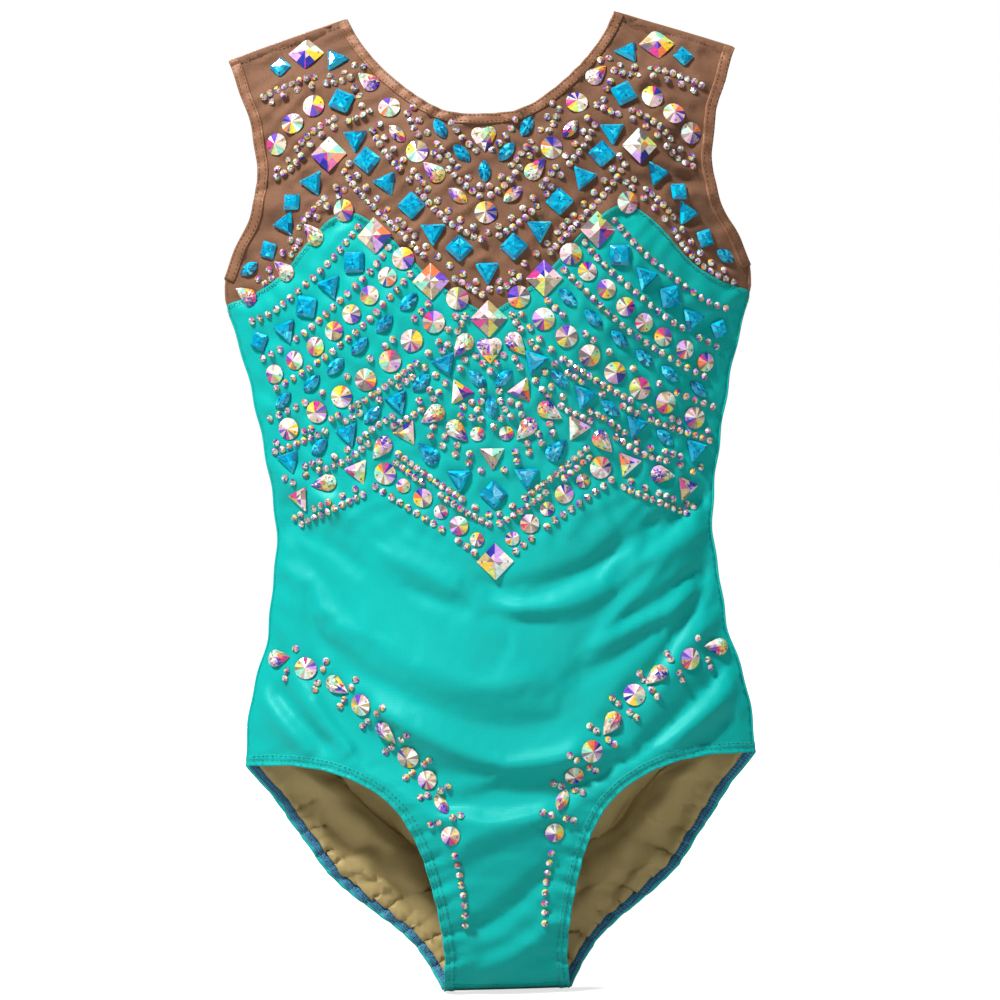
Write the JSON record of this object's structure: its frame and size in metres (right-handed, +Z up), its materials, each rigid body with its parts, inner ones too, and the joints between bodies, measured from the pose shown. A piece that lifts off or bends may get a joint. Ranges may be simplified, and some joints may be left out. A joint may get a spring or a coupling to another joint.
{
  "type": "gymnastics leotard",
  "caption": "Sleeveless stretch leotard with a skin-tone mesh yoke, scooped neck, high-cut legs and sewn-on crystals, worn for gymnastics.",
  "frame": {"origin": "centre of the bounding box in X and Y, at the lowest point of the crotch", "axes": "+X to the wearer's left, +Y to the wearer's back, +Z up from crotch to neck; the front faces -Y"},
  "size_m": [0.3374, 0.0981, 0.621],
  "materials": {
    "turquoise_fabric": "smooth stretch fabric with a soft sheen",
    "skin_tone_mesh": "fine matt stretch mesh",
    "binding_fabric": "folded stretch strip, matt",
    "lining_fabric": "matt tricot lining",
    "blue_elastic": "ribbed woven elastic",
    "seam_thread": "overlocked seam allowance",
    "ab_crystal": "faceted, iridescent coated, foil-backed",
    "blue_crystal": "faceted, foil-backed",
    "bead_crystal": "small faceted crystal, foil-backed"
  },
  "bodies": {
    "root": {"ab_heart_stones": "ab_crystal", "ab_large_rivolis": "ab_crystal", "ab_medium_rivolis": "ab_crystal", "ab_navette_stones": "ab_crystal", "ab_small_rivolis": "ab_crystal", "ab_square_stones": "ab_crystal", "ab_teardrop_stones": "ab_crystal", "ab_triangle_stones": "ab_crystal", "back_body_panel": "turquoise_fabric", "back_lining": "lining_fabric", "back_yoke": "skin_tone_mesh", "blue_navette_stones": "blue_crystal", "blue_small_square_stones": "blue_crystal", "blue_square_stones": "blue_crystal", "blue_teardrop_stones": "blue_crystal", "blue_triangle_stones": "blue_crystal", "crotch_gusset": "lining_fabric", "crotch_seam": "seam_thread", "front_body_panel": "turquoise_fabric", "front_lining": "lining_fabric", "front_yoke": "skin_tone_mesh", "hip_beads": "bead_crystal", "left_armhole_binding": "binding_fabric", "left_leg_elastic": "blue_elastic", "left_shoulder_seam": "binding_fabric", "left_side_seam": "seam_thread", "lower_bodice_beads": "bead_crystal", "neck_binding": "binding_fabric", "right_armhole_binding": "binding_fabric", "right_leg_elastic": "blue_elastic", "right_shoulder_seam": "binding_fabric", "right_side_seam": "seam_thread", "upper_bodice_beads": "bead_crystal", "yoke_beads": "bead_crystal"}
  },
  "joints": []
}
